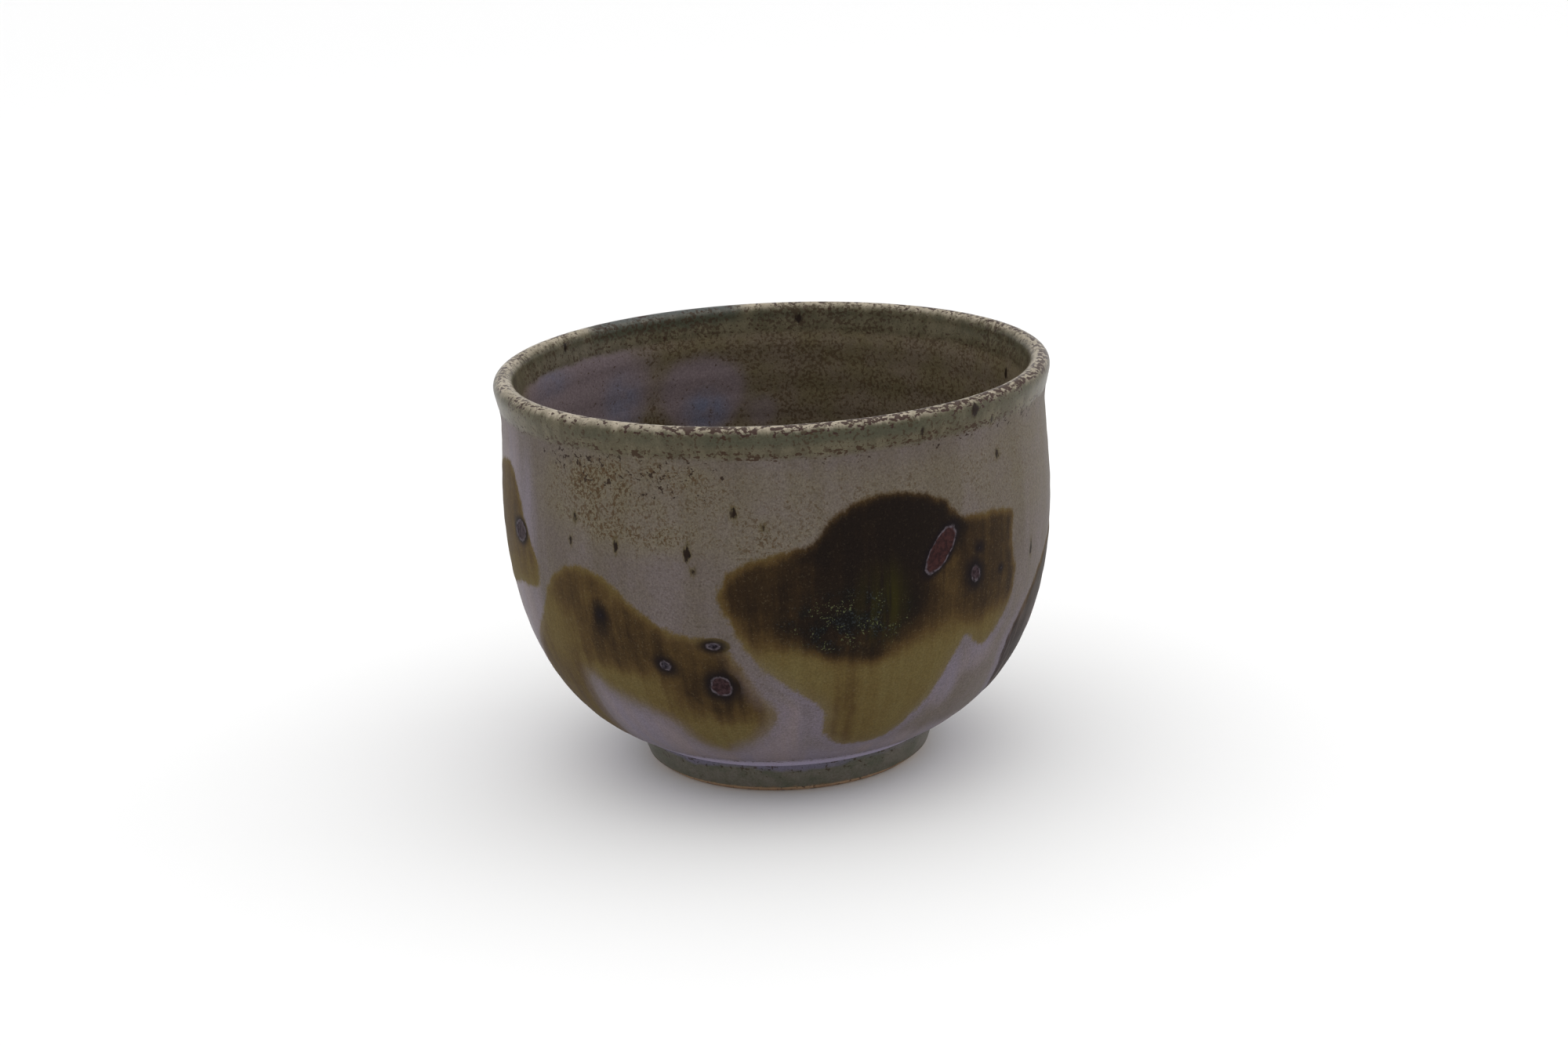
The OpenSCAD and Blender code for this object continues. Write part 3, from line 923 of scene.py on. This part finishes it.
def wall_group(spatter):
    """The grey-lavender wall glaze with its tan speckle, lilac pools and drips of iron."""
    tree, g, _, out = new_group("wall_glaze", {}, LAYER_OUTPUTS)
    spot = g.object_mm()
    colour, lilac = wall_ground(g, spot)
    colour, tan = wall_flecks(g, spatter, spot, colour, lilac)
    drip = ragged_drips(g, g.meridian_mm(1.6), 0.8, 2.6)
    colour = g.mix(g.step(drip, -1.1, 0.1, 0.0, 0.7), colour, DRIP_EDGE)
    colour = g.mix(g.step(drip, -0.25, 0.25), colour, DRIP_HEART)
    rough = g.plus(g.step(lilac, 0.0, 1.0, 0.52, 0.42), tan, -0.05)
    bumps = g.plus(g.times(g.drifts(spot, 1.6), 0.05), tan, -0.010)
    g.put_out(out, colour, rough, g.plus(bumps, g.step(drip, -0.2, 0.8), 0.03))
    return tree


def liner_group(spatter):
    """The liner inside: olive brown thick with brown mottle, and soft pools of lilac and blue."""
    tree, g, _, out = new_group("liner_glaze", {}, LAYER_OUTPUTS)
    spot = g.object_mm()
    colour = g.mix(g.patches(spot, 9.0), LINER_OLIVE, LINER_BUFF)
    lilac = g.plus(g.value_of("lilac"), g.noise(g.meridian_mm(2.0), 6.0, 3.0), 0.4)
    lilac = g.step(lilac, 0.20, 1.15)
    colour = g.mix(lilac, colour, LINER_LILAC)
    blue = g.times(g.value_of("blue"), g.step(g.noise(spot, 4.0), 0.3, 0.6, 0.5, 1.0))
    colour = g.mix(blue, colour, LINER_BLUE)
    density = g.times(g.patches(spot, 7.0, 0.32, 0.68, 0.38, 0.84), g.step(lilac, 0.0, 0.8, 1.0, 0.25))
    mottle = g.flecks(spatter, spot, 0.72, density)
    colour = g.mix(g.times(mottle, 0.66), colour, LINER_MOTTLE)
    colour = g.grained(colour, spot, 0.5, 0.86, 1.16)
    drip = ragged_drips(g, spot, 0.9, 2.0)
    colour = g.mix(g.step(drip, -0.3, 0.3), colour, LINER_SPOT)
    bumps = g.plus(g.times(g.drifts(spot, 1.8), 0.05), mottle, -0.012)
    g.put_out(out, colour, g.step(lilac, 0.0, 1.0, 0.40, 0.32), bumps)
    return tree


def band_ground(g, colour, wander, band, patch):
    """Olive, darker where it pooled, broken to cream on the crest, where a painted sheen lightens it, and
    blue inside the lip.
    """
    streaky = g.meridian_mm(2.5)
    over = g.value_of("over")
    olive = g.mix(g.patches(streaky, 3.0), BAND_OLIVE, BAND_PALE)
    colour = g.mix(g.times(band, 0.85), colour, olive)
    pooled = g.value_of("pooled")
    wet = g.math("MAXIMUM", g.times(patch, 0.6), pooled)
    colour = g.mix(g.times(g.nearness(wander, 4.6, 0.4, 2.4), wet), colour, BAND_POOL)
    frayed = g.plus(g.math("ABSOLUTE", over), g.drifts(streaky, 1.6), 2.6)
    # The pale break on the crest, with a painted sheen that lightens its top
    cream_and_sheen = g.mix(patch, CREST_CREAM_AND_SHEEN, CREST_GREY_AND_SHEEN)
    colour = g.mix(g.step(frayed, 2.0, 4.0, 0.9, 0.0), colour, cream_and_sheen)
    inner_lip = g.times(g.step(over, -1.4, -0.2), g.step(over, 0.8, 3.6, 1.0, 0.0))
    return g.mix(g.times(g.times(pooled, 0.9), inner_lip), colour, INNER_LIP_BLUE)


def band_flecks(g, spatter, spot, colour, wander, band, patch):
    """Brown specks on the crest, dust over the band, and dashes along its edge."""
    along_rim = g.meridian_mm(0.6)
    over = g.value_of("over")
    near_crest = g.step(g.math("ABSOLUTE", over), 0.8, 4.2, 1.0, 0.0)
    gathered = g.patches(spot, 8.0, 0.36, 0.62, 0.28, 0.85)
    density = g.times(near_crest, g.blend(g.value_of("specked"), gathered, 0.98))
    outer = g.step(over, 0.0, 1.6, 1.0, 0.0)
    density = g.times(density, g.blend(outer, 0.3, 1.0))
    specks = g.flecks(spatter, along_rim, 1.3, density)
    colour = g.mix(g.times(specks, 0.92), colour, CREST_SPECK)
    thin = g.times(band, g.times(gathered, g.blend(outer, 0.95, 0.62)))
    colour = g.mix(g.times(g.flecks(spatter, spot, 0.8, thin), 0.7), colour, BAND_DUST)
    line = g.nearness(wander, BAND_END - 0.4, 0.2, 1.8, 0.72)
    line = g.times(line, g.step(over, -1.0, 1.0, 1.0, 0.3))
    line = g.times(line, g.step(patch, 0.0, 1.0, 0.75, 1.0))
    dashes = g.flecks(spatter, along_rim, 1.3, line)
    return g.mix(g.times(dashes, 0.85), colour, EDGE_DASH), specks


def band_group(spatter):
    """The dipped celadon band, laid over another glaze."""
    tree, g, given, out = new_group("dipped_band", LAYER_INPUTS, LAYER_OUTPUTS)
    spot = g.object_mm()
    even = g.meridian_mm(1.0)
    across = g.math("ABSOLUTE", g.value_of("over"))
    wander = g.plus(across, g.drifts(even, 6.0), 2 * WANDER_MEAN)
    band = g.step(wander, BAND_END - 0.6, BAND_END + 1.2, 1.0, 0.0)
    patch = g.patches(even, 9.0, 0.38, 0.62)
    colour = band_ground(g, given["Color"], wander, band, patch)
    colour = g.grained(colour, spot, 0.45, 0.86, 1.16)
    colour, specks = band_flecks(g, spatter, spot, colour, wander, band, patch)
    drip = ragged_drips(g, g.meridian_mm(2.5), 0.9, 2.6)
    colour = g.mix(g.step(drip, -0.4, 0.3), colour, BAND_DRIP)
    rough = g.blend(band, given["Roughness"], 0.30)
    g.put_out(out, colour, rough, g.plus(given["Height"], specks, -0.02))
    return tree


def iron_cover(g, ragged):
    """How much of the glaze under it the iron hides: by a crisp edge, or by a soft veil."""
    crisp, veil = g.step(ragged, -0.7, 0.6), g.step(ragged, -4.6, 4.2)
    cover = g.blend(g.value_of("veil"), crisp, veil)
    return g.math("MAXIMUM", cover, g.step(g.value_of("halo"), 0.2, 0.5))


def iron_depth(g, spot, streaky, ragged):
    """Thickness of the iron: its own, with streaks and clouds, and less along its edge."""
    depth = g.plus(g.value_of("depth"), g.sway(streaky, 2.6), 0.46)
    depth = g.plus(depth, g.sway(spot, 3.5, 4.0, 0.65), 0.30)
    return g.math("MULTIPLY", depth, g.step(ragged, -0.6, 2.6, 0.45, 1.0), clamp=True)


def iron_ground(g, spot, streaky, depth):
    """Khaki where the iron is thin, brown, then near black, and dull on the dry splash."""
    ramp = g.add("ShaderNodeValToRGB", {"Fac": depth})
    stops = ramp.color_ramp.elements
    while len(stops) < len(IRON_TONES):
        stops.new(0.5)
    for stop, (position, colour) in zip(stops, IRON_TONES):
        stop.position = position
        stop.color = colour
    iron = g.grained(ramp.outputs["Color"], spot, 0.4, 0.84, 1.18)
    dull = g.mix(g.patches(streaky, 2.0, 0.42, 0.60), MATTE_DARK, MATTE_PALE)
    return g.mix(g.times(g.value_of("dry"), 0.9), iron, dull)


def crystal_layer(g, spatter, spot, streaky, colour):
    """Where iron is thickest: blue-black patches with frost, green streaks, and crystals as dots."""
    crystal = g.value_of("crystal")
    blue = g.times(crystal, g.patches(spot, 4.0, 0.38, 0.62))
    colour = g.mix(g.times(blue, 0.8), colour, BLUE_BLACK)
    green = g.times(g.value_of("green"), g.patches(streaky, 3.0))
    colour = g.mix(g.times(green, 0.85), colour, BOTTLE_GREEN)
    frost = g.flecks(spatter, spot, 0.45, g.times(blue, 0.55))
    colour = g.mix(g.times(frost, 0.45), colour, FROST)
    gathered = g.times(crystal, g.patches(spot, 3.0, 0.42, 0.68, 0.0, 0.52))
    dots = g.flecks(spatter, spot, 0.44, gathered)
    return g.mix(g.times(dots, 0.75), colour, CRYSTAL), dots


def eye_layer(g, spot, colour):
    """Iron eyes: a maroon or ashen heart, a broken pale ring round it, and a dark halo."""
    colour = g.mix(g.times(g.value_of("halo"), 0.95), colour, EYE_HALO)
    eye = g.plus(g.value_of("eye"), g.sway(spot, 1.5), 1.1)
    cloudy = g.step(g.noise(spot, 0.8, 3.0), 0.35, 0.65)
    heart = g.mix(g.value_of("red"), g.mix(cloudy, ASH, SOOT), g.mix(cloudy, MAROON, DEEP_MAROON))
    colour = g.mix(g.step(eye, -0.40, 0.0, 1.0, 0.0), colour, heart)
    ring = g.nearness(eye, -0.12, 0.06, 0.36)
    broken = g.step(g.noise(spot, 1.1), 0.36, 0.62, 0.08, 0.72)
    return g.mix(g.times(ring, broken), colour, EYE_RING), ring


def iron_group(spatter):
    """Iron glaze laid over another glaze, with its crystals and eyes."""
    tree, g, given, out = new_group("iron_splash", LAYER_INPUTS, LAYER_OUTPUTS)
    spot, streaky = g.object_mm(), g.meridian_mm(12.0)
    ragged = g.plus(g.value_of("iron"), g.sway(g.meridian_mm(1.6), 1.8), 2.2)
    ragged = g.plus(ragged, g.sway(spot, 0.5, 1.0, 0.5), 0.9)
    cover = iron_cover(g, ragged)
    depth = iron_depth(g, spot, streaky, ragged)
    iron = iron_ground(g, spot, streaky, depth)
    iron, dots = crystal_layer(g, spatter, spot, streaky, iron)
    flecks = g.times(g.flecks(spatter, spot, 0.5, 0.25), g.step(depth, 0.3, 1.0, 0.22, 0.05))
    iron, ring = eye_layer(g, spot, g.mix(flecks, iron, PALE_FLECK))
    rough = g.blend(cover, given["Roughness"], g.step(depth, 0.0, 1.0, 0.60, 0.42))
    dents = g.plus(g.times(ring, 0.02), dots, 0.012)
    height = g.math("ADD", given["Height"], g.times(dents, cover))
    g.put_out(out, g.mix(cover, given["Color"], iron), rough, height)
    return tree


def moss_group(spatter):
    """The thin coat on the foot: grey-green, rusty dots near the top, worn to clay at its edge."""
    tree, g, _, out = new_group("moss_glaze", {}, LAYER_OUTPUTS)
    spot = g.object_mm()
    apart = g.add("ShaderNodeSeparateXYZ", {0: spot}).outputs
    height = apart["Z"]
    colour = g.mix(g.patches(spot, 5.0), MOSS_GREEN, MOSS_GREY)
    run = g.step(g.plus(height, g.drifts(spot, 9.0), 4.5), 7.8, 8.9)
    run = g.times(run, g.step(apart["X"], 2.0, 24.0, 0.8, 0.2))
    colour = g.mix(run, colour, MOSS_LILAC)
    density = g.math("MULTIPLY_ADD", g.step(height, 3.6, 6.4), 0.30, 0.08)
    dots = g.flecks(spatter, spot, 0.95, density)
    colour = g.mix(g.times(dots, 0.75), colour, MOSS_DOT)
    worn = g.plus(height, g.drifts(spot, 2.2), 1.6)
    colour = g.mix(g.step(worn, 1.6, 2.6, 0.8, 0.0), colour, WORN_CLAY)
    colour = g.grained(colour, spot, 0.5, 0.86, 1.16)
    g.put_out(out, colour, g.step(worn, 1.6, 2.8, 0.6, 0.36), g.times(g.drifts(spot, 1.4), 0.06))
    return tree


def clay_group(spatter):
    """Bare stoneware: tan clay, sandy and dry, with grog and iron specks."""
    tree, g, _, out = new_group("bare_clay", {}, LAYER_OUTPUTS)
    spot = g.object_mm()
    colour = g.mix(g.patches(spot, 6.0), CLAY_PALE, CLAY_TAN)
    colour = g.mix(g.times(g.flecks(spatter, spot, 0.7, 0.45), 0.4), colour, GROG)
    colour = g.mix(g.times(g.flecks(spatter, spot, 1.1, 0.25), 0.8), colour, CLAY_SPECK)
    rough = g.step(g.noise(spot, 1.0), 0.3, 0.7, 0.75, 0.9)
    g.put_out(out, colour, rough, g.times(g.noise(spot, 0.6, 3.0, 0.7), 0.10))
    return tree


def new_material(name, specular, lay):
    """A Principled material that shows what lay(graph) puts out, with bumps in mm."""
    material = bpy.data.materials.new(name)
    material.use_nodes = True
    material.node_tree.nodes.clear()
    g = Graph(material.node_tree)
    top = lay(g).outputs
    shader = g.add("ShaderNodeBsdfPrincipled")
    shader.inputs["Specular IOR Level"].default_value = specular
    bump = g.add("ShaderNodeBump", {"Distance": MM, "Strength": 1.0, "Height": top["Height"]})
    g.join(shader.inputs["Base Color"], top["Color"])
    g.join(shader.inputs["Roughness"], top["Roughness"])
    g.join(shader.inputs["Normal"], bump.outputs[0])
    output = g.add("ShaderNodeOutputMaterial", {"Surface": shader.outputs[0]})
    output.is_active_output = True
    return material


def stacked(*groups):
    """A function that lays groups of glaze one over another."""
    def lay(g):
        top = g.use(groups[0])
        for group in groups[1:]:
            top = g.use(group, {k: top.outputs[k] for k in LAYER_OUTPUTS})
        return top
    return lay


def dipped(wall, liner, band):
    """A function that lays the band over the wall's glaze outside and the liner's inside, which
    meet on the crest."""
    def lay(g):
        outer, inner = g.use(wall).outputs, g.use(liner).outputs
        side = g.step(g.value_of("over"), -1.5, 1.5)
        under = {k: g.blend(side, outer[k], inner[k]) for k in ("Roughness", "Height")}
        under["Color"] = g.mix(side, outer["Color"], inner["Color"])
        return g.use(band, under)
    return lay


def make_materials():
    spatter = spatter_group()
    wall, liner, band = wall_group(spatter), liner_group(spatter), band_group(spatter)
    iron = iron_group(spatter)
    layers = {
        "clay": (CLAY_SPECULAR, stacked(clay_group(spatter))),
        "lavender_glaze": (GLAZE_SPECULAR, stacked(wall, band, iron)),
        "iron_glaze": (IRON_SPECULAR, stacked(wall, band, iron)),
        "celadon_glaze": (GLAZE_SPECULAR, dipped(wall, liner, band)),
        "liner_glaze": (GLAZE_SPECULAR, stacked(liner, band)),
        "moss_glaze": (GLAZE_SPECULAR, stacked(moss_group(spatter))),
    }
    return {name: new_material(name, *layer) for name, layer in layers.items()}


MATERIALS = make_materials()


# --- Pieces ------------------------------------------------------------------------------

def profile_piece(name, nodes, slot, outline):
    """A closed ring or disc turned round the axis from a closed outline of [radius, height]."""
    outline = np.asarray(outline, float)
    angle = np.radians(all_round())
    points = np.stack([outline[:, :1] * np.sin(angle), -outline[:, :1] * np.cos(angle),
                       np.broadcast_to(outline[:, 1:], (len(outline), COLUMNS))], -1)
    points, faces = weld_poles(points.reshape(-1, 3), loop_faces(len(outline), COLUMNS))
    points, faces, _ = drop_unused(points, faces, [])
    return own(make_mesh(name, points, faces), slot, *nodes)


def dense(points, spacing):
    """A path through points with no step longer than a spacing."""
    out = [points[0]]
    for a, b in zip(points[:-1], points[1:]):
        a, b = np.asarray(a, float), np.asarray(b, float)
        steps = max(1, math.ceil(np.hypot(*(b - a)) / spacing))
        out += [a + (b - a) * k / steps for k in range(1, steps + 1)]
    return out


FOOT_FACE_STEP = 0.5
FOOT_BACK_STEP = 2.0
FOOT_CLAY_STEP = 0.6
WELL_STEP = 0.8


def foot_radius(height, inset=0.0):
    return FOOT_R + FOOT_FLARE * height / FOOT_H - inset


def well_radius(height, inset=0.0):
    return WELL_R - WELL_DRAFT * height / FOOT_H + inset


def build_bowl():
    """The shells of the wall, the lip and the inside, and the films of the splashes."""
    glaze_piece("wall_coat", ["outside_glaze"], "lavender_glaze", 0, DIP_AT, WALL_STEP)
    glaze_piece("lip_band", ["rim_glaze"], "celadon_glaze", DIP_AT, INNER_DIP_AT, LIP_STEP, LIP_BACK_STEP)
    glaze_piece("liner_coat", ["inside_glaze"], "liner_glaze", INNER_DIP_AT, END_AT, LINER_STEP)
    for node in OUTLINES:
        splash_piece(node)


def build_foot():
    """The coat on the foot's outside, the bare clay under it, and the coat in the well."""
    face = [(foot_radius(BARE_H), BARE_H), (foot_radius(FOOT_H), FOOT_H)]
    back = [(foot_radius(FOOT_H, GLAZE_T), FOOT_H), (foot_radius(BARE_H, GLAZE_T), BARE_H)]
    coat_outline = dense(face, FOOT_FACE_STEP) + dense(back, FOOT_BACK_STEP)
    profile_piece("foot_coat", ["foot_glaze"], "moss_glaze", coat_outline)
    clay_outline = dense([
        (foot_radius(0, GLAZE_T) - FOOT_BEVEL, 0), (foot_radius(FOOT_BEVEL, GLAZE_T), FOOT_BEVEL),
        (foot_radius(FOOT_H, GLAZE_T), FOOT_H), (well_radius(FOOT_H, GLAZE_T), FOOT_H),
        (well_radius(FOOT_BEVEL, GLAZE_T), FOOT_BEVEL), (well_radius(0, GLAZE_T) + FOOT_BEVEL, 0),
    ], FOOT_CLAY_STEP)
    profile_piece("clay_foot", ["foot_ring"], "clay", clay_outline)
    ceiling = FOOT_H - GLAZE_T
    well_outline = dense([
        (0, ceiling), (well_radius(ceiling), ceiling), (well_radius(BARE_H), BARE_H),
        (well_radius(BARE_H, GLAZE_T), BARE_H), (well_radius(FOOT_H, GLAZE_T), FOOT_H), (0, FOOT_H),
    ], WELL_STEP)
    profile_piece("well_coat", ["foot_well_glaze"], "moss_glaze", well_outline)


def dress_clay():
    """The clay under the glaze keeps its own mesh and gets the clay material."""
    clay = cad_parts["clay_bowl"]
    for slot in clay.material_slots:
        slot.material = MATERIALS["clay"]


build_bowl()
build_foot()
dress_clay()


# --- Stage, light and camera, in metres and degrees ---------------------------------------

FLOOR_HALF = 4.0
FLOOR_WHITE = 0.82
FLOOR_ROUGHNESS = 0.9
# Side panels as their place and power, and what they are turned to
PANELS = {"left_panel": ((-0.85, 0.15, 0.40), 0.8), "right_panel": ((0.85, 0.15, 0.40), 1.8)}
PANEL_SIZE = (0.7, 0.8)
MIDDLE = (0, 0, 0.05)
OVERHEAD_LIGHT = 2.3
OVERHEAD_SPREAD = 100
# The studio is paler near the horizon: between two heights its light falls from one value to another
HORIZON = (0.10, 0.55)
HORIZON_LIGHT = 0.92
SKY_LIGHT = 0.42
LENS = 63
SENSOR_W = 36
CLIP_START = 0.01
CAMERA_PLACE = (0.00114, -0.5707, 0.22026)
CAMERA_TILT = 16.57
CAMERA_ROLL = -2.63


def add_to_scene(name, data):
    thing = bpy.data.objects.new(name, data)
    bpy.context.scene.collection.objects.link(thing)
    return thing


def add_floor():
    """A wide, pale square that the bowl stands on."""
    corners = [(x * FLOOR_HALF, y * FLOOR_HALF, 0) for x, y in ((-1, -1), (1, -1), (1, 1), (-1, 1))]
    mesh = bpy.data.meshes.new("floor")
    mesh.from_pydata(corners, [], [(0, 1, 2, 3)])
    material = bpy.data.materials.new("pale_floor")
    material.use_nodes = True
    shader = material.node_tree.nodes["Principled BSDF"]
    shader.inputs["Base Color"].default_value = (FLOOR_WHITE, FLOOR_WHITE, FLOOR_WHITE, 1)
    shader.inputs["Roughness"].default_value = FLOOR_ROUGHNESS
    mesh.materials.append(material)
    add_to_scene("floor", mesh)


def add_panel(name, place, power):
    """A rectangle of light turned to the middle of the bowl."""
    light = bpy.data.lights.new(name, "AREA")
    light.shape = "RECTANGLE"
    light.size, light.size_y = PANEL_SIZE
    light.energy = power
    lamp = add_to_scene(name, light)
    lamp.location = place
    lamp.rotation_euler = (Vector(MIDDLE) - Vector(place)).to_track_quat("-Z", "Y").to_euler()


def add_overhead():
    """A wide, soft light from straight above."""
    light = bpy.data.lights.new("overhead", "SUN")
    light.energy = OVERHEAD_LIGHT
    light.angle = math.radians(OVERHEAD_SPREAD)
    add_to_scene("overhead", light)


def add_sky():
    """The light of the studio all round."""
    world = bpy.data.worlds.new("studio")
    bpy.context.scene.world = world
    world.use_nodes = True
    g = Graph(world.node_tree)
    sky = world.node_tree.nodes["Background"]
    sky.inputs["Color"].default_value = (1, 1, 1, 1)
    direction = g.add("ShaderNodeTexCoord").outputs["Generated"]
    height = g.add("ShaderNodeSeparateXYZ", {0: direction}).outputs["Z"]
    g.join(sky.inputs["Strength"], g.step(height, *HORIZON, HORIZON_LIGHT, SKY_LIGHT))


def add_camera():
    """A long lens that looks down at the bowl, about 17 degrees below level, and is rolled a
    little. Its axes are those of a level camera turned by the tilt and then by the roll."""
    tilt, roll = math.radians(CAMERA_TILT), math.radians(CAMERA_ROLL)
    right = Vector((1, 0, 0))
    down = Vector((0, -math.sin(tilt), -math.cos(tilt)))
    forward = Vector((0, math.cos(tilt), -math.sin(tilt)))
    rolled_right = math.cos(roll) * right - math.sin(roll) * down
    rolled_down = math.sin(roll) * right + math.cos(roll) * down
    axes = Matrix((rolled_right, -rolled_down, -forward)).transposed()
    camera = bpy.data.cameras.new("camera")
    camera.sensor_width = SENSOR_W
    camera.lens = LENS
    camera.clip_start = CLIP_START
    eye = add_to_scene("camera", camera)
    eye.matrix_world = Matrix.Translation(CAMERA_PLACE) @ axes.to_4x4()
    bpy.context.scene.camera = eye


add_floor()
for panel, (place, power) in PANELS.items():
    add_panel(panel, place, power)
add_overhead()
add_sky()
add_camera()
bpy.context.scene.view_settings.view_transform = "Standard"
